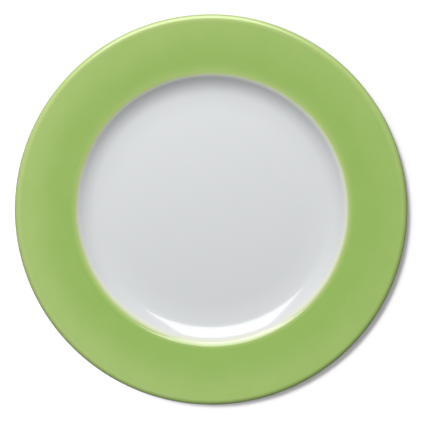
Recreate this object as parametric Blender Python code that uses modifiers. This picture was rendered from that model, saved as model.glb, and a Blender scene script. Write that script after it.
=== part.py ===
"""China dinner plate: a flat, wide-rimmed plate in white porcelain with a coloured band of glaze.

The plate stands on its foot ring: z = 0 is the tread, the origin is on the axis of the plate,
and +Z points up out of the well. Everything is a turned section, so one line drawn once, from
the middle of the well, out over the rim and back under the plate, gives every surface. The
fired body and the coats of glaze on it are separate solids: each coat is a skin that follows
the line, and the body lies under it, with a fine gap between the two.
"""

import math

import bpy

MM = 0.001

# Sizes over all
PLATE_RADIUS = 135.0 * MM
TURNING_STEPS = 60

# Top of the plate, from the middle outwards
FLOOR_RADIUS = 67.0 * MM
WELL_FLOOR_HEIGHT = 8.0 * MM
WALL_THICKNESS = 4.4 * MM
LEAD_CURVE = 92.0 * MM
LEAD_SLOPE = 8.4
COVE_CURVE = 19.4 * MM
COVE_SLOPE = 42.3
COVE_WALL = 2.0 * MM
SHOULDER_CURVE = 7.8 * MM
BAND_EDGE_SLOPE = 29.0
RIM_SLOPE = 12.0

# Lip: a full round on top, tighter at the outermost point, then rolled under the rim
LIP_TOP_CURVE = 3.6 * MM
LIP_TOP_TURN = 36.0
LIP_NOSE_CURVE = 1.7 * MM
LIP_ROLL_CURVE = 2.8 * MM
LIP_ROLL_BACK = 20.0

# Foot ring
FOOT_OUTER_RADIUS = 80.3 * MM
FOOT_FILLET_CURVE = 1.4 * MM
FOOT_CORNER_CURVE = 0.6 * MM
FOOT_FLANK_DRAFT = 10.0
TREAD_WIDTH = 2.4 * MM
BARE_FOOT_HEIGHT = 1.2 * MM

# Coats of glaze
COAT_THICKNESS = 0.3 * MM
COAT_GAP = 0.3 * MM
SEAM_GAP = 0.3 * MM
BODY_INSET = COAT_THICKNESS + COAT_GAP

STEP_DEGREES = 18.0
MERGE_DISTANCE = 0.000001

PORCELAIN_BISQUE = (0.79, 0.78, 0.74)
GREEN_GLAZE = (0.37, 0.57, 0.15)
CLEAR_GLAZE = (0.76, 0.785, 0.80)


class SectionPen:
    """Draws a section as straight runs and tangent arcs, zone by zone.

    The facing is the angle of the surface's normal from +Z towards the outside, in degrees:
    0 on the floor of the well, 90 at the outermost point of the lip, 180 underneath.
    """

    def __init__(self, radius, height):
        self.radius = radius
        self.height = height
        self.facing = 0.0
        self.zones = {}
        self.points = None

    def start_zone(self, name):
        self.points = self.zones.setdefault(name, [])
        self.record()

    def end_zone(self):
        self.points = None

    def record(self):
        if self.points is not None:
            self.points.append((self.radius, self.height, self.facing))

    def run(self, length):
        """Goes straight on along the surface."""
        angle = math.radians(self.facing)
        self.radius += length * math.cos(angle)
        self.height -= length * math.sin(angle)
        self.record()

    def run_to_radius(self, radius):
        self.run((radius - self.radius) / math.cos(math.radians(self.facing)))

    def run_to_height(self, height):
        self.run((self.height - height) / math.sin(math.radians(self.facing)))

    def turn(self, curve, facing):
        """Follows an arc of radius curve until the surface faces that way."""
        sweep = facing - self.facing
        bend = math.copysign(curve, sweep)
        steps = max(1, math.ceil(abs(sweep) / STEP_DEGREES - 1e-9))
        first = self.facing
        start = math.radians(first)
        centre_radius = self.radius - bend * math.sin(start)
        centre_height = self.height - bend * math.cos(start)
        for step in range(1, steps + 1):
            self.facing = first + sweep * step / steps
            angle = math.radians(self.facing)
            self.radius = centre_radius + bend * math.sin(angle)
            self.height = centre_height + bend * math.cos(angle)
            self.record()


def seam(pen, curve, sign):
    """Moves round an arc by the width of a seam, with no zone being drawn."""
    pen.end_zone()
    pen.turn(curve, pen.facing + sign * math.degrees(SEAM_GAP / curve))


def rise_of_turn(curve, start, end, across):
    """How far an arc moves along the direction that faces at the angle across."""
    return curve * (math.cos(math.radians(end - across)) - math.cos(math.radians(start - across)))


def lip_return_curve():
    """The hollow curve that brings the rolled lip back to the rim's underside."""
    rim = -RIM_SLOPE
    rolled = 180.0 - RIM_SLOPE + LIP_ROLL_BACK
    depth = -rise_of_turn(LIP_TOP_CURVE, rim, LIP_TOP_TURN, rim)
    depth -= rise_of_turn(LIP_NOSE_CURVE, LIP_TOP_TURN, 90.0, rim)
    depth -= rise_of_turn(LIP_ROLL_CURVE, 90.0, rolled, rim)
    return (depth - WALL_THICKNESS) / (1.0 - math.cos(math.radians(LIP_ROLL_BACK)))


def lip_width():
    """How far the rounding of the lip reaches in from the outermost point."""
    top = math.sin(math.radians(LIP_TOP_TURN)) + math.sin(math.radians(RIM_SLOPE))
    nose = 1.0 - math.sin(math.radians(LIP_TOP_TURN))
    return LIP_TOP_CURVE * top + LIP_NOSE_CURVE * nose


def shoulder_end_radius():
    """Where the shoulder's curve ends and the straight slope of the rim begins."""
    radius = FLOOR_RADIUS
    radius += (LEAD_CURVE - COVE_CURVE) * math.sin(math.radians(LEAD_SLOPE))
    radius += (COVE_CURVE + SHOULDER_CURVE) * math.sin(math.radians(COVE_SLOPE))
    radius += COVE_WALL * math.cos(math.radians(COVE_SLOPE))
    return radius - SHOULDER_CURVE * math.sin(math.radians(RIM_SLOPE))


def draw_top(pen):
    pen.start_zone("well")
    pen.run_to_radius(FLOOR_RADIUS)
    pen.turn(LEAD_CURVE, -LEAD_SLOPE)
    pen.turn(COVE_CURVE, -COVE_SLOPE)
    pen.run(COVE_WALL)
    pen.turn(SHOULDER_CURVE, -BAND_EDGE_SLOPE)
    seam(pen, SHOULDER_CURVE, 1.0)
    pen.start_zone("rim")
    pen.turn(SHOULDER_CURVE, -RIM_SLOPE)
    pen.run_to_radius(PLATE_RADIUS - lip_width())


def draw_lip(pen):
    pen.turn(LIP_TOP_CURVE, LIP_TOP_TURN)
    pen.turn(LIP_NOSE_CURVE, 90.0)
    pen.turn(LIP_ROLL_CURVE, 180.0 - RIM_SLOPE + LIP_ROLL_BACK)
    seam(pen, lip_return_curve(), -1.0)


def draw_underside(pen):
    """The underside runs one wall thickness below the top, as far as the foot ring."""
    pen.start_zone("underside")
    pen.turn(lip_return_curve(), 180.0 - RIM_SLOPE)
    inward = math.sin(math.radians(RIM_SLOPE)) * WALL_THICKNESS
    pen.run_to_radius(shoulder_end_radius() + inward)
    pen.turn(SHOULDER_CURVE - WALL_THICKNESS, 180.0 - COVE_SLOPE)
    pen.run(COVE_WALL)
    pen.turn(COVE_CURVE + WALL_THICKNESS, 180.0 - LEAD_SLOPE)
    under_lead = LEAD_CURVE + WALL_THICKNESS
    foot_reach = (FOOT_OUTER_RADIUS - FLOOR_RADIUS) / under_lead
    pen.turn(under_lead, 180.0 - math.degrees(math.asin(foot_reach)))
    pen.turn(FOOT_FILLET_CURVE, 90.0 + FOOT_FLANK_DRAFT)
    pen.run_to_height(BARE_FOOT_HEIGHT + SEAM_GAP)
    pen.end_zone()
    pen.run_to_height(BARE_FOOT_HEIGHT)


def draw_foot(pen):
    corner_drop = FOOT_CORNER_CURVE * (1.0 - math.sin(math.radians(FOOT_FLANK_DRAFT)))
    pen.start_zone("foot")
    pen.run_to_height(corner_drop)
    pen.turn(FOOT_CORNER_CURVE, 180.0)
    pen.run(TREAD_WIDTH)
    pen.turn(FOOT_CORNER_CURVE, 270.0 - FOOT_FLANK_DRAFT)
    pen.run_to_height(BARE_FOOT_HEIGHT)
    pen.end_zone()
    pen.run_to_height(BARE_FOOT_HEIGHT + SEAM_GAP)


def draw_recess(pen):
    fillet_rise = FOOT_FILLET_CURVE * (1.0 - math.sin(math.radians(FOOT_FLANK_DRAFT)))
    pen.start_zone("recess")
    pen.run_to_height(WELL_FLOOR_HEIGHT - WALL_THICKNESS - fillet_rise)
    pen.turn(FOOT_FILLET_CURVE, 180.0)
    pen.run_to_radius(0.0)
    pen.end_zone()


def draw_section():
    """The whole outline of the plate, as zones of points with the way that each one faces."""
    pen = SectionPen(0.0, WELL_FLOOR_HEIGHT)
    draw_top(pen)
    draw_lip(pen)
    draw_underside(pen)
    draw_foot(pen)
    draw_recess(pen)
    return pen.zones


def sink(points, depth):
    """The line that lies a given depth under a stretch of the outline."""
    sunk = []
    for radius, height, facing in points:
        angle = math.radians(facing)
        inner_radius = max(0.0, radius - depth * math.sin(angle))
        sunk.append((inner_radius, height - depth * math.cos(angle)))
    return sunk


def coat_outline(points):
    """Out along the face of a coat and back along its hidden side, from the axis if it meets it."""
    face = sink(points, 0.0)
    hidden = sink(points, COAT_THICKNESS)[::-1]
    if face[-1][0] == 0.0:
        return hidden + face
    return face + hidden


def body_outline(zones):
    """The body fills the outline, sunk under each coat and full size at the bare foot."""
    outline = []
    for name, points in zones.items():
        depth = 0.0 if name == "foot" else BODY_INSET
        outline += sink(points, depth)
    return outline


def make_material(name, colour, roughness, coat):
    material = bpy.data.materials.new(name)
    material.use_nodes = True
    shader = material.node_tree.nodes["Principled BSDF"]
    shader.inputs["Base Color"].default_value = (*colour, 1.0)
    shader.inputs["Roughness"].default_value = roughness
    shader.inputs["Metallic"].default_value = 0.0
    shader.inputs["Coat Weight"].default_value = coat
    material.diffuse_color = (*colour, 1.0)
    return material


def turn_solid(name, outline, material, collection):
    """Turns an outline round the plate's axis into one closed solid."""
    meets_axis = outline[0][0] == 0.0
    count = len(outline)
    edges = [(index, index + 1) for index in range(count - 1)]
    if not meets_axis:
        edges.append((count - 1, 0))
    mesh = bpy.data.meshes.new(name)
    mesh.from_pydata([(radius, 0.0, height) for radius, height in outline], edges, [])
    mesh.materials.append(material)
    solid = bpy.data.objects.new(name, mesh)
    collection.objects.link(solid)
    screw = solid.modifiers.new("Turn", "SCREW")
    screw.axis = "Z"
    screw.angle = math.tau
    screw.steps = TURNING_STEPS
    screw.render_steps = TURNING_STEPS
    screw.use_merge_vertices = True
    screw.merge_threshold = MERGE_DISTANCE
    screw.use_smooth_shade = True
    return solid


def main():
    for old in list(bpy.data.objects):
        bpy.data.objects.remove(old, do_unlink=True)
    collection = bpy.data.collections.new("china_dinner_plate")
    bpy.context.scene.collection.children.link(collection)

    bisque = make_material("bisque_porcelain", PORCELAIN_BISQUE, 0.75, 0.0)
    green = make_material("green_glaze", GREEN_GLAZE, 0.12, 1.0)
    clear = make_material("clear_glaze", CLEAR_GLAZE, 0.10, 1.0)

    zones = draw_section()
    turn_solid("porcelain_body", body_outline(zones), bisque, collection)
    turn_solid("well_glaze", coat_outline(zones["well"]), clear, collection)
    turn_solid("green_rim_glaze", coat_outline(zones["rim"]), green, collection)
    turn_solid("underside_glaze", coat_outline(zones["underside"]), clear, collection)
    turn_solid("foot_recess_glaze", coat_outline(zones["recess"]), clear, collection)


main()
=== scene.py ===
"""The looks of the china dinner plate: smooth turned coats of glaze over the fired body.

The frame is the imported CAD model: z = 0 is the tread of the foot ring, the origin is on the
axis and +Z points up out of the well. Lengths are in metres and angles in degrees.
"""

import math

import bpy
from mathutils import Matrix, Vector


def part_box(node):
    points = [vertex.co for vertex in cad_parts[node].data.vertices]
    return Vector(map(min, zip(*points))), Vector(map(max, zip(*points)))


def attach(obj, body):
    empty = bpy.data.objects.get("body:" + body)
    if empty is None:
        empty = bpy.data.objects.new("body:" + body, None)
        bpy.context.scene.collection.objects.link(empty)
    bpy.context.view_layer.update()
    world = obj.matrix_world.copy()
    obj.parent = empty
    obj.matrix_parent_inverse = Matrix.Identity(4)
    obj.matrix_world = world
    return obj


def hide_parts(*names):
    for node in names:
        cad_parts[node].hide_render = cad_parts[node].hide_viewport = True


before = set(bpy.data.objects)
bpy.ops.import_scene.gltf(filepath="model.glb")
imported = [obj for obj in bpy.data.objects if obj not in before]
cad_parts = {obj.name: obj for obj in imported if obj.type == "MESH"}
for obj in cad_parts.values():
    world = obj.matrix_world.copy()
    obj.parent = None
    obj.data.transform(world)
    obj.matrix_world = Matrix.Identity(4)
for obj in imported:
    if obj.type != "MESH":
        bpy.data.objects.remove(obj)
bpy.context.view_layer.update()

MM = 0.001

# Sizes that the frame gives
PLATE_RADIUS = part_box("green_rim_glaze")[1].x

# Top of the plate, from the middle outwards, as in the CAD
FLOOR_RADIUS = 67.0 * MM
WELL_FLOOR_HEIGHT = 8.0 * MM
WALL_THICKNESS = 4.4 * MM
LEAD_CURVE = 92.0 * MM
LEAD_SLOPE = 8.4
COVE_CURVE = 19.4 * MM
COVE_SLOPE = 42.3
COVE_WALL = 2.0 * MM
SHOULDER_CURVE = 7.8 * MM
BAND_EDGE_SLOPE = 29.0
RIM_SLOPE = 12.0

# Lip and foot ring, as in the CAD
LIP_TOP_CURVE = 3.6 * MM
LIP_TOP_TURN = 36.0
LIP_NOSE_CURVE = 1.7 * MM
LIP_ROLL_CURVE = 2.8 * MM
LIP_ROLL_BACK = 20.0
FOOT_OUTER_RADIUS = 80.3 * MM
FOOT_FILLET_CURVE = 1.4 * MM
FOOT_CORNER_CURVE = 0.6 * MM
FOOT_FLANK_DRAFT = 10.0
TREAD_WIDTH = 2.4 * MM
BARE_FOOT_HEIGHT = 1.2 * MM

# The glaze as fired, a little thinner than the CAD's stand-in skin. It lies over a bed that is
# sunk in the body, and stops on the foot's flanks in a rounded edge that stands proud of the clay
GLAZE_DEPTH = 0.16 * MM
GLAZE_BED = 0.2 * MM
GLAZE_STEP = 0.24 * MM
GLAZE_EDGE_WANDER = 0.16 * MM

# The waves along the glaze's edge on the foot: how many go round, their share and their start
EDGE_WAVES = ((5.0, 0.5, 0.7), (13.0, 0.3, 2.1), (29.0, 0.2, 4.0))
EDGE_WANDER_REACH = 0.9 * BARE_FOOT_HEIGHT

# How far the fired plate is out of true at the lip, up and down and in its outline
RIM_WARP = 0.13 * MM
WARP_AZIMUTH = 25.0
RIM_OVAL = 0.16 * MM
OVAL_AZIMUTH = 55.0

# Fineness of the turned meshes
TURNING_STEPS = 432
ARC_SAG = 0.005 * MM
ARC_STEP_LARGEST = 10.0
RUN_STEP = 5.0 * MM
TOUCHING = 1e-6


def arc_step(curve):
    """The turn in degrees between two points of an arc whose chords stay close to the curve."""
    return min(ARC_STEP_LARGEST, math.degrees(2.0 * math.acos(1.0 - ARC_SAG / curve)))


class SectionPen:
    """Draws the section as straight runs and tangent arcs, zone by zone.

    The facing is the angle of the surface's normal from +Z towards the outside, in degrees.
    """

    def __init__(self, radius, height):
        self.radius = radius
        self.height = height
        self.facing = 0.0
        self.zones = {}
        self.points = None

    def start_zone(self, name):
        """Ends one zone and starts the next where it ended."""
        self.points = self.zones.setdefault(name, [])
        self.record()

    def record(self):
        self.points.append((self.radius, self.height, self.facing))

    def run(self, length):
        """A straight line along the surface, square to the facing."""
        angle = math.radians(self.facing)
        steps = max(1, math.ceil(abs(length) / RUN_STEP))
        for _ in range(steps):
            self.radius += length / steps * math.cos(angle)
            self.height -= length / steps * math.sin(angle)
            self.record()

    def run_to_radius(self, radius):
        self.run((radius - self.radius) / math.cos(math.radians(self.facing)))

    def run_to_height(self, height):
        self.run((self.height - height) / math.sin(math.radians(self.facing)))

    def turn(self, curve, facing):
        """An arc that goes on from the line without a corner and ends at a facing."""
        sweep = facing - self.facing
        bend = math.copysign(curve, sweep)
        steps = max(2, math.ceil(abs(sweep) / arc_step(curve)))
        first = self.facing
        start = math.radians(first)
        centre_radius = self.radius - bend * math.sin(start)
        centre_height = self.height - bend * math.cos(start)
        for step in range(1, steps + 1):
            self.facing = first + sweep * step / steps
            angle = math.radians(self.facing)
            self.radius = centre_radius + bend * math.sin(angle)
            self.height = centre_height + bend * math.cos(angle)
            self.record()


def rise_of_turn(curve, start, end, across):
    """How far an arc moves along the direction that faces at the angle across."""
    return curve * (math.cos(math.radians(end - across)) - math.cos(math.radians(start - across)))


def lip_return_curve():
    """The hollow curve that brings the rolled lip back to the rim's underside."""
    rim = -RIM_SLOPE
    rolled = 180.0 - RIM_SLOPE + LIP_ROLL_BACK
    depth = -rise_of_turn(LIP_TOP_CURVE, rim, LIP_TOP_TURN, rim)
    depth -= rise_of_turn(LIP_NOSE_CURVE, LIP_TOP_TURN, 90.0, rim)
    depth -= rise_of_turn(LIP_ROLL_CURVE, 90.0, rolled, rim)
    return (depth - WALL_THICKNESS) / (1.0 - math.cos(math.radians(LIP_ROLL_BACK)))


def lip_width():
    """How far the rounding of the lip reaches in from the outermost point."""
    top = math.sin(math.radians(LIP_TOP_TURN)) + math.sin(math.radians(RIM_SLOPE))
    nose = 1.0 - math.sin(math.radians(LIP_TOP_TURN))
    return LIP_TOP_CURVE * top + LIP_NOSE_CURVE * nose


def shoulder_end_radius():
    """Where the shoulder ends and the straight of the rim begins."""
    radius = FLOOR_RADIUS
    radius += (LEAD_CURVE - COVE_CURVE) * math.sin(math.radians(LEAD_SLOPE))
    radius += (COVE_CURVE + SHOULDER_CURVE) * math.sin(math.radians(COVE_SLOPE))
    radius += COVE_WALL * math.cos(math.radians(COVE_SLOPE))
    return radius - SHOULDER_CURVE * math.sin(math.radians(RIM_SLOPE))


def draw_top(pen):
    """From the middle of the well over the shoulder, the rim and the lip."""
    pen.start_zone("well")
    pen.run_to_radius(FLOOR_RADIUS)
    pen.turn(LEAD_CURVE, -LEAD_SLOPE)
    pen.turn(COVE_CURVE, -COVE_SLOPE)
    pen.run(COVE_WALL)
    pen.turn(SHOULDER_CURVE, -BAND_EDGE_SLOPE)
    pen.start_zone("rim")
    pen.turn(SHOULDER_CURVE, -RIM_SLOPE)
    pen.run_to_radius(PLATE_RADIUS - lip_width())
    pen.turn(LIP_TOP_CURVE, LIP_TOP_TURN)
    pen.turn(LIP_NOSE_CURVE, 90.0)
    pen.turn(LIP_ROLL_CURVE, 180.0 - RIM_SLOPE + LIP_ROLL_BACK)


def draw_underside(pen):
    """From under the lip back to the outer flank of the foot, a wall's thickness below the top."""
    pen.start_zone("underside")
    pen.turn(lip_return_curve(), 180.0 - RIM_SLOPE)
    inward = math.sin(math.radians(RIM_SLOPE)) * WALL_THICKNESS
    pen.run_to_radius(shoulder_end_radius() + inward)
    pen.turn(SHOULDER_CURVE - WALL_THICKNESS, 180.0 - COVE_SLOPE)
    pen.run(COVE_WALL)
    pen.turn(COVE_CURVE + WALL_THICKNESS, 180.0 - LEAD_SLOPE)
    under_lead = LEAD_CURVE + WALL_THICKNESS
    foot_reach = (FOOT_OUTER_RADIUS - FLOOR_RADIUS) / under_lead
    pen.turn(under_lead, 180.0 - math.degrees(math.asin(foot_reach)))
    pen.turn(FOOT_FILLET_CURVE, 90.0 + FOOT_FLANK_DRAFT)
    pen.run_to_height(BARE_FOOT_HEIGHT + GLAZE_STEP)
    pen.turn(GLAZE_STEP, 180.0)


def draw_foot(pen):
    """The bare foot, from flank to flank across the tread."""
    pen.start_zone("foot")
    corner_drop = FOOT_CORNER_CURVE * (1.0 - math.sin(math.radians(FOOT_FLANK_DRAFT)))
    pen.run_to_height(corner_drop)
    pen.turn(FOOT_CORNER_CURVE, 180.0)
    pen.run(TREAD_WIDTH - 2.0 * GLAZE_STEP)
    pen.turn(FOOT_CORNER_CURVE, 270.0 - FOOT_FLANK_DRAFT)
    pen.run_to_height(BARE_FOOT_HEIGHT)


def draw_recess(pen):
    """From the inner flank of the foot to the middle of the recess."""
    pen.start_zone("recess")
    pen.turn(GLAZE_STEP, 270.0 - FOOT_FLANK_DRAFT)
    fillet_rise = FOOT_FILLET_CURVE * (1.0 - math.sin(math.radians(FOOT_FLANK_DRAFT)))
    pen.run_to_height(WELL_FLOOR_HEIGHT - WALL_THICKNESS - fillet_rise)
    pen.turn(FOOT_FILLET_CURVE, 180.0)
    pen.run_to_radius(0.0)


def draw_section():
    """The outline of the whole plate, in zones that meet point to point.

    The facing jumps where the rounded edge of the glaze meets the bare clay.
    """
    pen = SectionPen(0.0, WELL_FLOOR_HEIGHT)
    draw_top(pen)
    draw_underside(pen)
    pen.facing = 90.0 + FOOT_FLANK_DRAFT
    draw_foot(pen)
    pen.facing = 180.0
    draw_recess(pen)
    return pen.zones


def sink(points, depth):
    """The line that lies a given depth under a stretch of the outline."""
    sunk = []
    for radius, height, facing in points:
        angle = math.radians(facing)
        inner_radius = max(0.0, radius - depth * math.sin(angle))
        sunk.append((inner_radius, height - depth * math.cos(angle), facing))
    return sunk


def turned_back(points):
    """The same line walked the other way, facing the other way."""
    return [(radius, height, facing + 180.0) for radius, height, facing in reversed(points)]


def wall(start, end):
    """A short straight wall between two points of an outline, facing out on its own left."""
    facing = math.degrees(math.atan2(start[1] - end[1], end[0] - start[0]))
    return [(start[0], start[1], facing), (end[0], end[1], facing)]


def coat_strips(points):
    """A coat: its face, its hidden side, and the walls at its edges away from the axis."""
    face = sink(points, 0.0)
    hidden = turned_back(sink(points, GLAZE_DEPTH))
    if face[-1][0] < TOUCHING:
        return [hidden, wall(hidden[-1], face[0]), face]
    strips = [face, wall(face[-1], hidden[0]), hidden]
    if face[0][0] > TOUCHING:
        strips.append(wall(hidden[-1], face[0]))
    return strips


def body_strips(zones):
    """The body fills the outline, sunk under each coat and at its full size on the bare foot."""
    strips = []
    for name, points in zones.items():
        line = sink(points, 0.0 if name == "foot" else GLAZE_BED)
        if strips and math.dist(strips[-1][-1][:2], line[0][:2]) > TOUCHING:
            strips.append(wall(strips[-1][-1], line[0]))
        strips.append(line)
    return strips


def out_of_true(across, along):
    """The height that the fired plate's warp adds, and how steeply it changes each way."""
    scale = RIM_WARP / PLATE_RADIUS ** 2
    turn = 2.0 * math.radians(WARP_AZIMUTH)
    straight = across * across - along * along
    crossed = 2.0 * across * along
    lift = scale * (straight * math.cos(turn) + crossed * math.sin(turn))
    slope_across = 2.0 * scale * (across * math.cos(turn) + along * math.sin(turn))
    slope_along = 2.0 * scale * (across * math.sin(turn) - along * math.cos(turn))
    return lift, slope_across, slope_along


def oval(angle):
    """The oval outline's radius over the round one's, and how steeply it changes by angle."""
    share = RIM_OVAL / PLATE_RADIUS
    turn = 2.0 * (angle - math.radians(OVAL_AZIMUTH))
    return 1.0 + share * math.cos(turn), -2.0 * share * math.sin(turn)


def edge_wander(angle, height):
    """How far the edge of the glaze on the foot strays up or down from a level line."""
    wave = sum(share * math.sin(count * angle + start) for count, share, start in EDGE_WAVES)
    reach = max(0.0, 1.0 - abs(height - BARE_FOOT_HEIGHT) / EDGE_WANDER_REACH)
    return GLAZE_EDGE_WANDER * wave * reach * reach * (3.0 - 2.0 * reach)


class Turning:
    """One closed solid, turned round the axis from strips of outline with exact normals."""

    def __init__(self):
        self.vertices = []
        self.faces = []
        self.normals = []
        self.rings = {}

    def ring(self, radius, height):
        """The points round the axis, or the one on it. The warp fades out towards the tread."""
        key = (round(radius, 9), round(height, 9))
        if key in self.rings:
            return self.rings[key]
        first = len(self.vertices)
        count = 1 if radius < TOUCHING else TURNING_STEPS
        for step in range(count):
            angle = math.tau * step / TURNING_STEPS
            across = radius * oval(angle)[0] * math.cos(angle)
            along = radius * oval(angle)[0] * math.sin(angle)
            lift = out_of_true(across, along)[0] * min(1.0, height / WELL_FLOOR_HEIGHT)
            if count > 1:
                lift += edge_wander(angle, height)
            self.vertices.append((across, along, height + lift))
        ring = [first + step % count for step in range(TURNING_STEPS)]
        self.rings[key] = ring
        return ring

    def ring_normals(self, radius, facing):
        """The surface's own normals round a ring, with the warp and the oval in them."""
        angle = math.radians(facing)
        outward = math.sin(angle)
        upward = math.cos(angle)
        normals = []
        for step in range(TURNING_STEPS):
            turn = math.tau * step / TURNING_STEPS
            across = radius * math.cos(turn)
            along = radius * math.sin(turn)
            _, tilt_across, tilt_along = out_of_true(across, along)
            aside = -oval(turn)[1]
            normal = Vector((
                outward * (math.cos(turn) - aside * math.sin(turn)) - upward * tilt_across,
                outward * (math.sin(turn) + aside * math.cos(turn)) - upward * tilt_along,
                upward,
            ))
            normals.append(normal.normalized())
        return normals

    def add_strip(self, points):
        """Rows of four-sided faces along a line of the section, three-sided at the axis."""
        rings = [self.ring(radius, height) for radius, height, _ in points]
        facings = [self.ring_normals(radius, facing) for radius, _, facing in points]
        for row in range(len(points) - 1):
            upper, lower = rings[row], rings[row + 1]
            upper_facing, lower_facing = facings[row], facings[row + 1]
            for step in range(TURNING_STEPS):
                after = (step + 1) % TURNING_STEPS
                corners = [(upper[step], upper_facing[step]), (lower[step], lower_facing[step])]
                if lower[after] != lower[step]:
                    corners.append((lower[after], lower_facing[after]))
                if upper[after] != upper[step]:
                    corners.append((upper[after], upper_facing[after]))
                self.faces.append([vertex for vertex, _ in corners])
                self.normals += [normal for _, normal in corners]

    def finish(self, name, material):
        mesh = bpy.data.meshes.new(name)
        mesh.from_pydata(self.vertices, [], self.faces)
        mesh.materials.append(material)
        mesh.shade_smooth()
        mesh.normals_split_custom_set(self.normals)
        piece = bpy.data.objects.new(name, mesh)
        bpy.context.scene.collection.objects.link(piece)
        return piece


class Nodes:
    """Short calls for building a material's node tree."""

    def __init__(self, tree):
        self.tree = tree

    def add(self, kind, **settings):
        node = self.tree.nodes.new(kind)
        for name, value in settings.items():
            setattr(node, name, value)
        return node

    def feed(self, socket, value):
        """Links a socket to another node's output, or sets it to a plain value."""
        if isinstance(value, bpy.types.NodeSocket):
            self.tree.links.new(value, socket)
        elif value is not None:
            socket.default_value = value

    def maths(self, operation, first, second=None, third=None):
        node = self.add("ShaderNodeMath", operation=operation)
        for socket, value in zip(node.inputs, (first, second, third)):
            self.feed(socket, value)
        return node.outputs[0]

    def fade(self, value, start, end, low=0.0, high=1.0):
        """Goes smoothly from low to high as a value goes from start to end."""
        node = self.add("ShaderNodeMapRange", interpolation_type="SMOOTHSTEP")
        for socket, item in zip(node.inputs, (value, start, end, low, high)):
            self.feed(socket, item)
        return node.outputs[0]

    def mix(self, factor, first, second):
        node = self.add("ShaderNodeMix", data_type="RGBA")
        colours = [socket for socket in node.inputs if socket.type == "RGBA"]
        self.feed(node.inputs[0], factor)
        self.feed(colours[0], first)
        self.feed(colours[1], second)
        return [socket for socket in node.outputs if socket.type == "RGBA"][0]

    def noise(self, vector, scale, detail, roughness):
        node = self.add("ShaderNodeTexNoise")
        self.feed(node.inputs["Vector"], vector)
        self.feed(node.inputs["Scale"], scale)
        self.feed(node.inputs["Detail"], detail)
        self.feed(node.inputs["Roughness"], roughness)
        return node.outputs["Fac"]

    def swing(self, vector, scale, detail, roughness, reach):
        """Noise about zero, within half the reach on each side or so."""
        middle = self.maths("SUBTRACT", self.noise(vector, scale, detail, roughness), 0.5)
        return self.maths("MULTIPLY", middle, reach)

    def bump(self, height, distance, strength, normal=None):
        node = self.add("ShaderNodeBump")
        self.feed(node.inputs["Height"], height)
        self.feed(node.inputs["Distance"], distance)
        self.feed(node.inputs["Strength"], strength)
        self.feed(node.inputs["Normal"], normal)
        return node.outputs[0]


def new_material(name):
    material = bpy.data.materials.new(name)
    material.use_nodes = True
    return material, Nodes(material.node_tree), material.node_tree.nodes["Principled BSDF"]


def plate_place(nodes):
    """The place on the plate, in the plate's own frame."""
    return nodes.add("ShaderNodeTexCoord").outputs["Object"]


def coordinates(nodes, place):
    """The three coordinates of a place."""
    split = nodes.add("ShaderNodeSeparateXYZ")
    nodes.feed(split.inputs[0], place)
    return split.outputs["X"], split.outputs["Y"], split.outputs["Z"]


def distance_from(nodes, place, centre):
    """The distance from the upright line through a centre."""
    x, y, _ = coordinates(nodes, place)
    across = nodes.maths("SUBTRACT", x, centre[0])
    along = nodes.maths("SUBTRACT", y, centre[1])
    across_squared = nodes.maths("POWER", across, 2.0)
    along_squared = nodes.maths("POWER", along, 2.0)
    return nodes.maths("SQRT", nodes.maths("ADD", across_squared, along_squared))


def lean(nodes, place, middle, across, along):
    """A value that changes evenly over the plate: by across towards +X and by along towards +Y."""
    x, y, _ = coordinates(nodes, place)
    value = nodes.maths("MULTIPLY_ADD", x, across / PLATE_RADIUS, middle)
    return nodes.maths("MULTIPLY_ADD", y, along / PLATE_RADIUS, value)


# Colours of the fired glazes, as linear albedo
WHITE = (0.771, 0.790, 0.803, 1.0)
WHITE_CLOUD = (0.756, 0.777, 0.792, 1.0)
CREAM = (0.820, 0.840, 0.666, 1.0)
GREEN_PALE = (0.503, 0.646, 0.228, 1.0)
GREEN_DEEP = (0.335, 0.535, 0.127, 1.0)
GREEN_LIGHTER = (0.440, 0.615, 0.195, 1.0)
GREEN_LIP = (0.515, 0.648, 0.245, 1.0)

# The sprayed band is a little off centre, and each colour fades in over the one before it,
# between two distances from its own centre
MIDDLE = (0.0, 0.0)
CREAM_CENTRE = (0.38 * MM, 1.40 * MM)
PALE_CENTRE = (0.74 * MM, 0.48 * MM)
GREEN_CENTRE = (0.70 * MM, 0.10 * MM)
CREAM_FADE = (90.3 * MM, 94.2 * MM)
PALE_FADE = (92.1 * MM, 95.2 * MM)
GREEN_FADE = (93.3 * MM, 98.2 * MM)

# Under the lip the spray runs out again
UNDER_CREAM_FADE = (125.5 * MM, 127.5 * MM)
UNDER_PALE_FADE = (127.0 * MM, 129.3 * MM)
UNDER_GREEN_FADE = (128.4 * MM, 131.0 * MM)

# Where the green changes along the radius, and how far it goes towards the lighter green there,
# from 0 to 1: on the axis, and how much more at the lip towards +X and towards +Y. The changes
# towards +X and +Y are painted light and shade: they make the green darker towards +X and mostly
# lighter towards +Y, the side the softbox lights from.
START_FADE = (96.5 * MM, 103.0 * MM)
GREEN_RADIAL_FADE = (104.0 * MM, 129.0 * MM)
LIP_FADE = (129.4 * MM, 132.2 * MM)
START_TONE_WITH_PAINTED_LIGHT = (0.08, 0.10, 0.42)
INNER_TONE_WITH_PAINTED_LIGHT = (0.17, -0.08, 0.14)
OUTER_TONE_WITH_PAINTED_LIGHT = (0.70, -0.29, -0.04)
LIP_TONE_WITH_PAINTED_LIGHT = (0.435, -0.23, 0.33)

# Unevenness: scale per metre, detail and roughness, and for the spray how far it swings
WHITE_CLOUDS = (38.0, 3.0, 0.5)
GREEN_MOTTLE = (48.0, 4.0, 0.6, 0.55)
GREEN_SPECKS = (900.0, 2.0, 0.7, 0.25)
LIP_STRAY = (70.0, 2.0, 0.5, 1.0 * MM)
SPRAY_STRAY = (45.0, 2.0, 0.5, 0.9 * MM)
SPRAY_SPECKLE = (2400.0, 1.0, 0.5, 1.2 * MM)

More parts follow.
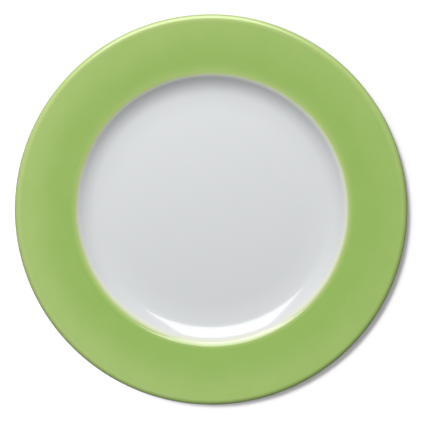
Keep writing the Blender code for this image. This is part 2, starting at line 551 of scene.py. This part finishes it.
# Waviness that firing leaves in the gloss
SLOW_WAVES = (26.0, 1.0, 0.5)
SLOW_WAVE_DEPTH = 0.018 * MM
FINE_WAVES = (210.0, 2.0, 0.4)
FINE_WAVE_DEPTH = 0.006 * MM
WAVE_STRENGTH = 0.5

# The bare clay of the foot, and the grime low down on it
CLAY = (0.79, 0.775, 0.74, 1.0)
CLAY_CLOUD = (0.70, 0.68, 0.63, 1.0)
CLAY_GRIME = (0.40, 0.375, 0.33, 1.0)
CLAY_CLOUDS = (90.0, 3.0, 0.5)
CLAY_GRAIN = (2600.0, 4.0, 0.65)
CLAY_GRAIN_DEPTH = 0.06 * MM
CLAY_GRAIN_STRENGTH = 0.8
CLAY_ROUGHNESS = (0.68, 0.9)
GRAIN_RANGE = (0.3, 0.7)
GRIME_PATCHES = (260.0, 4.0, 0.7)
GRIME_PATCH_EDGE = (0.42, 0.68)
GRIME_HEIGHT = 0.35 * MM
GRIME_MOST = 0.55


def glaze_gloss(nodes, shader, place):
    """A clear glossy glaze, level to the eye, with the faint waviness that firing leaves."""
    shader.inputs["Roughness"].default_value = 0.25
    shader.inputs["IOR"].default_value = 1.45
    shader.inputs["Specular IOR Level"].default_value = 0.3
    shader.inputs["Coat Weight"].default_value = 1.0
    shader.inputs["Coat Roughness"].default_value = 0.03
    shader.inputs["Coat IOR"].default_value = 1.455
    slow = nodes.bump(nodes.noise(place, *SLOW_WAVES), SLOW_WAVE_DEPTH, WAVE_STRENGTH)
    fine = nodes.bump(nodes.noise(place, *FINE_WAVES), FINE_WAVE_DEPTH, WAVE_STRENGTH, slow)
    nodes.feed(shader.inputs["Coat Normal"], fine)


def white_colour(nodes, place):
    """White porcelain under clear glaze, faintly cloudy at a scale of centimetres."""
    return nodes.mix(nodes.noise(place, *WHITE_CLOUDS), WHITE_CLOUD, WHITE)


def green_colour(nodes, place):
    """Green glaze, lighter towards the lip and lighter still over it, mottled by the spray. Painted
    light and shade: it is also made darker towards +X and mostly lighter towards +Y, the side the
    softbox lights from.
    """
    radius = distance_from(nodes, place, MIDDLE)
    # Painted light and shade: these leans make the green darker towards +X and lighter towards +Y.
    inside = lean(nodes, place, *INNER_TONE_WITH_PAINTED_LIGHT)
    outside = lean(nodes, place, *OUTER_TONE_WITH_PAINTED_LIGHT)
    start = lean(nodes, place, *START_TONE_WITH_PAINTED_LIGHT)
    over_lip = lean(nodes, place, *LIP_TONE_WITH_PAINTED_LIGHT)
    tone_with_painted_light = nodes.fade(radius, *GREEN_RADIAL_FADE, inside, outside)
    tone_with_painted_light = nodes.maths("ADD", tone_with_painted_light, nodes.fade(radius, *START_FADE, start, 0.0))
    tone_with_painted_light = nodes.maths("ADD", tone_with_painted_light, nodes.swing(place, *GREEN_MOTTLE))
    tone_with_painted_light = nodes.maths("ADD", tone_with_painted_light, nodes.swing(place, *GREEN_SPECKS))
    green = nodes.mix(tone_with_painted_light, GREEN_DEEP, GREEN_LIGHTER)
    crest = nodes.maths("ADD", radius, nodes.swing(place, *LIP_STRAY))
    return nodes.mix(nodes.fade(crest, *LIP_FADE, 0.0, over_lip), green, GREEN_LIP)


def feathered(nodes, place, colour, coats):
    """Colours laid over one another, each sprayed on about its own centre with a speckled edge."""
    speckle = nodes.swing(place, *SPRAY_SPECKLE)
    stray = nodes.maths("ADD", speckle, nodes.swing(place, *SPRAY_STRAY))
    for tint, centre, reach in coats:
        edge = nodes.maths("ADD", distance_from(nodes, place, centre), stray)
        colour = nodes.mix(nodes.fade(edge, *reach), colour, tint)
    return colour


def banded_glaze():
    """The top of the plate: white in the well, then the band of green with its soft edge."""
    material, nodes, shader = new_material("banded_glaze")
    place = plate_place(nodes)
    coats = (
        (CREAM, CREAM_CENTRE, CREAM_FADE),
        (GREEN_PALE, PALE_CENTRE, PALE_FADE),
        (green_colour(nodes, place), GREEN_CENTRE, GREEN_FADE),
    )
    white = white_colour(nodes, place)
    nodes.feed(shader.inputs["Base Color"], feathered(nodes, place, white, coats))
    glaze_gloss(nodes, shader, place)
    return material


def underside_glaze():
    """The underside: white, with the green's overspray fading out under the lip."""
    material, nodes, shader = new_material("underside_glaze")
    place = plate_place(nodes)
    coats = (
        (CREAM, MIDDLE, UNDER_CREAM_FADE),
        (GREEN_PALE, MIDDLE, UNDER_PALE_FADE),
        (green_colour(nodes, place), MIDDLE, UNDER_GREEN_FADE),
    )
    white = white_colour(nodes, place)
    nodes.feed(shader.inputs["Base Color"], feathered(nodes, place, white, coats))
    glaze_gloss(nodes, shader, place)
    return material


def recess_glaze():
    """The white glaze inside the foot ring."""
    material, nodes, shader = new_material("recess_glaze")
    place = plate_place(nodes)
    nodes.feed(shader.inputs["Base Color"], white_colour(nodes, place))
    glaze_gloss(nodes, shader, place)
    return material


def bisque_clay():
    """Bare fired clay on the foot ring: matt, gritty, and dulled where it has stood."""
    material, nodes, shader = new_material("bisque_clay")
    place = plate_place(nodes)
    _, _, height = coordinates(nodes, place)
    grain = nodes.noise(place, *CLAY_GRAIN)
    clay = nodes.mix(nodes.noise(place, *CLAY_CLOUDS), CLAY_CLOUD, CLAY)
    grime = nodes.fade(height, GRIME_HEIGHT, 0.0)
    patches = nodes.fade(nodes.noise(place, *GRIME_PATCHES), *GRIME_PATCH_EDGE)
    dull = nodes.maths("MULTIPLY", grime, nodes.maths("MULTIPLY", patches, GRIME_MOST))
    bumps = nodes.bump(grain, CLAY_GRAIN_DEPTH, CLAY_GRAIN_STRENGTH)
    nodes.feed(shader.inputs["Base Color"], nodes.mix(dull, clay, CLAY_GRIME))
    nodes.feed(shader.inputs["Roughness"], nodes.fade(grain, *GRAIN_RANGE, *CLAY_ROUGHNESS))
    nodes.feed(shader.inputs["Normal"], bumps)
    return material


def build_plate():
    """The fired body and its four coats, each in the place of its CAD node."""
    zones = draw_section()
    coats = {name: coat_strips(points) for name, points in zones.items() if name != "foot"}
    banded = banded_glaze()
    under = underside_glaze()
    inside = recess_glaze()
    rows = (
        ("plate_body", body_strips(zones), bisque_clay(), "porcelain_body", "bisque_porcelain"),
        ("well_coat", coats["well"], banded, "well_glaze", "clear_glaze"),
        ("green_rim_coat", coats["rim"], banded, "green_rim_glaze", "green_glaze"),
        ("underside_coat", coats["underside"], under, "underside_glaze", "clear_glaze"),
        ("foot_recess_coat", coats["recess"], inside, "foot_recess_glaze", "clear_glaze"),
    )
    pieces = []
    for name, strips, material, node, slot in rows:
        turning = Turning()
        for strip in strips:
            turning.add_strip(strip)
        piece = turning.finish(name, material)
        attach(piece, "root")
        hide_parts(node)
        pieces.append(piece)
    return pieces


# The camera. A place is a distance from the origin, a tilt from upright and an azimuth from +X
CAMERA_PLACE = (1.5, 6.79, 76.0)
CAMERA_AIM = (-0.7 * MM, -1.95 * MM, 0.0)
CAMERA_LENS = 183.72
CAMERA_NEAREST = 0.01
SENSOR_WIDTH = 36.0

# The softbox over the plate. A share of its light is seen in gloss, and the rest comes from a
# second lamp just behind it
SOFTBOX_PLACE = (0.951, 40.8, 101.8)
SOFTBOX_ROLL = -4.0
SOFTBOX_SIZE = (0.76, 0.83)
SOFTBOX_RADIANCE = 5.65
SOFTBOX_SEEN = 0.88
SOFTBOX_DEPTH = 0.01

# The rest of the light on the plate: a fill from the other side, a dim room, and a glow from
# below as from a table
FILL_PLACE = (0.905, 26.0, 248.0)
FILL_SIZE = 0.25
FILL_STRENGTH = 0.085
ROOM_GLOW = 0.06
TABLE_GLOW_PLACE = (2.0, 176.0, 200.0)
TABLE_GLOW_ANGLE = 30.0
TABLE_GLOW_STRENGTH = 0.85

# The light on the floor: a narrow sun, whose shadow has an edge, and a wide one, whose has none
FLOOR_SUN_PLACE = (2.0, 17.9, 120.5)
FLOOR_SUN_ANGLE = 7.0
FLOOR_SUN_STRENGTH = 2.0
FLOOR_SKY_PLACE = (2.0, 17.0, 130.0)
FLOOR_SKY_ANGLE = 66.0
FLOOR_SKY_STRENGTH = 1.78

# The floor
FLOOR_SEEN = (0.95, 0.935, 0.96, 1.0)
FLOOR_LIT = (0.06, 0.06, 0.06, 1.0)
FLOOR_REACH = 60.0
FLOOR_GAP = 0.05 * MM


def polar(distance, tilt, azimuth):
    """A place at a distance from the origin, tilt degrees from upright, azimuth from +X."""
    height = distance * math.cos(math.radians(tilt))
    level = distance * math.sin(math.radians(tilt))
    angle = math.radians(azimuth)
    return (level * math.cos(angle), level * math.sin(angle), height)


def look_at(thing, target, up):
    """Turns a camera or a lamp, which faces along its own -Z, to a target."""
    place = Vector(thing.location)
    back = (place - Vector(target)).normalized()
    right = Vector(up).cross(back).normalized()
    turn = Matrix((right, back.cross(right), back)).transposed()
    thing.matrix_world = Matrix.Translation(place) @ turn.to_4x4()


def add_camera():
    data = bpy.data.cameras.new("camera")
    data.sensor_width = SENSOR_WIDTH
    data.lens = CAMERA_LENS
    data.clip_start = CAMERA_NEAREST
    data.clip_end = 2.0 * FLOOR_REACH
    camera = bpy.data.objects.new("camera", data)
    bpy.context.scene.collection.objects.link(camera)
    camera.location = polar(*CAMERA_PLACE)
    look_at(camera, CAMERA_AIM, (0.0, 1.0, 0.0))
    bpy.context.scene.camera = camera


def add_floor():
    """A plain matt floor, white to the camera and dark grey in the light it gives back."""
    sides = ((-1, -1), (1, -1), (1, 1), (-1, 1))
    corners = [(x * FLOOR_REACH, y * FLOOR_REACH, 0.0) for x, y in sides]
    mesh = bpy.data.meshes.new("floor")
    mesh.from_pydata(corners, [], [(0, 1, 2, 3)])
    floor = bpy.data.objects.new("floor", mesh)
    bpy.context.scene.collection.objects.link(floor)
    floor.location.z = -FLOOR_GAP
    material, nodes, shader = new_material("pale_floor")
    seen = nodes.add("ShaderNodeLightPath").outputs["Is Camera Ray"]
    nodes.feed(shader.inputs["Base Color"], nodes.mix(seen, FLOOR_LIT, FLOOR_SEEN))
    shader.inputs["Roughness"].default_value = 1.0
    shader.inputs["Specular IOR Level"].default_value = 0.0
    mesh.materials.append(material)
    return floor


def add_world():
    """A dim room round the plate, and a plain white backdrop to the camera."""
    world = bpy.data.worlds.new("studio")
    bpy.context.scene.world = world
    world.use_nodes = True
    nodes = Nodes(world.node_tree)
    back = world.node_tree.nodes["Background"]
    seen = nodes.add("ShaderNodeLightPath").outputs["Is Camera Ray"]
    nodes.feed(back.inputs["Color"], (1.0, 1.0, 1.0, 1.0))
    nodes.feed(back.inputs["Strength"], nodes.maths("MAXIMUM", ROOM_GLOW, seen))


def light_only(lamp, name, things):
    """Limits a lamp to some of the things in the scene."""
    receivers = bpy.data.collections.new(name)
    for thing in things:
        receivers.objects.link(thing)
    lamp.light_linking.receiver_collection = receivers


def add_lamp(data, place, roll=0.0):
    """A lamp at a place, facing the origin, turned about its own axis by the roll."""
    lamp = bpy.data.objects.new(data.name, data)
    bpy.context.scene.collection.objects.link(lamp)
    lamp.location = polar(*place)
    look_at(lamp, (0.0, 0.0, 0.0), (0.0, 0.0, 1.0))
    lamp.matrix_world = lamp.matrix_world @ Matrix.Rotation(math.radians(roll), 4, "Z")
    return lamp


def add_softbox(pieces):
    """The lamp over the plate, and the one behind it that gloss doesn't show."""
    distance, tilt, azimuth = SOFTBOX_PLACE
    for name, share, behind, glossy in (
        ("softbox", SOFTBOX_SEEN, 0.0, True),
        ("softbox_bounce", 1.0 - SOFTBOX_SEEN, SOFTBOX_DEPTH, False),
    ):
        box = bpy.data.lights.new(name, "AREA")
        box.shape = "RECTANGLE"
        box.size, box.size_y = SOFTBOX_SIZE
        box.energy = share * SOFTBOX_RADIANCE * math.pi * box.size * box.size_y
        lamp = add_lamp(box, (distance + behind, tilt, azimuth), SOFTBOX_ROLL)
        lamp.visible_camera = False
        lamp.visible_glossy = glossy
        light_only(lamp, name + "_plate_only", pieces)


def add_fill(pieces):
    """A weak light, unseen in gloss. Its strength is how bright a white face towards it becomes."""
    soft = bpy.data.lights.new("fill", "AREA")
    soft.size = FILL_SIZE
    soft.energy = FILL_STRENGTH * math.pi ** 2 * FILL_PLACE[0] ** 2
    fill = add_lamp(soft, FILL_PLACE)
    fill.visible_camera = False
    fill.visible_glossy = False
    light_only(fill, "plate_filled", pieces)


def add_sun(name, strength, angle, place):
    sun = bpy.data.lights.new(name, "SUN")
    sun.energy = strength
    sun.angle = math.radians(angle)
    return add_lamp(sun, place)


def add_floor_suns(floor):
    """The suns that cast the plate's shadow, and light nothing but the floor."""
    sun = add_sun("floor_light", FLOOR_SUN_STRENGTH, FLOOR_SUN_ANGLE, FLOOR_SUN_PLACE)
    light_only(sun, "floor_light_floor_only", [floor])
    sky = add_sun("floor_sky", FLOOR_SKY_STRENGTH, FLOOR_SKY_ANGLE, FLOOR_SKY_PLACE)
    light_only(sky, "floor_sky_floor_only", [floor])


def add_table_glow(pieces):
    """The light that a table gives back to the underside. Only the plate's pieces block it."""
    glow = add_sun("table_glow", TABLE_GLOW_STRENGTH, TABLE_GLOW_ANGLE, TABLE_GLOW_PLACE)
    glow.visible_glossy = False
    light_only(glow, "plate_from_below", pieces)
    glow.light_linking.blocker_collection = glow.light_linking.receiver_collection


bpy.context.scene.view_settings.view_transform = "Standard"
plate = build_plate()
add_camera()
add_world()
floor = add_floor()
add_softbox(plate)
add_fill(plate)
add_floor_suns(floor)
add_table_glow(plate)
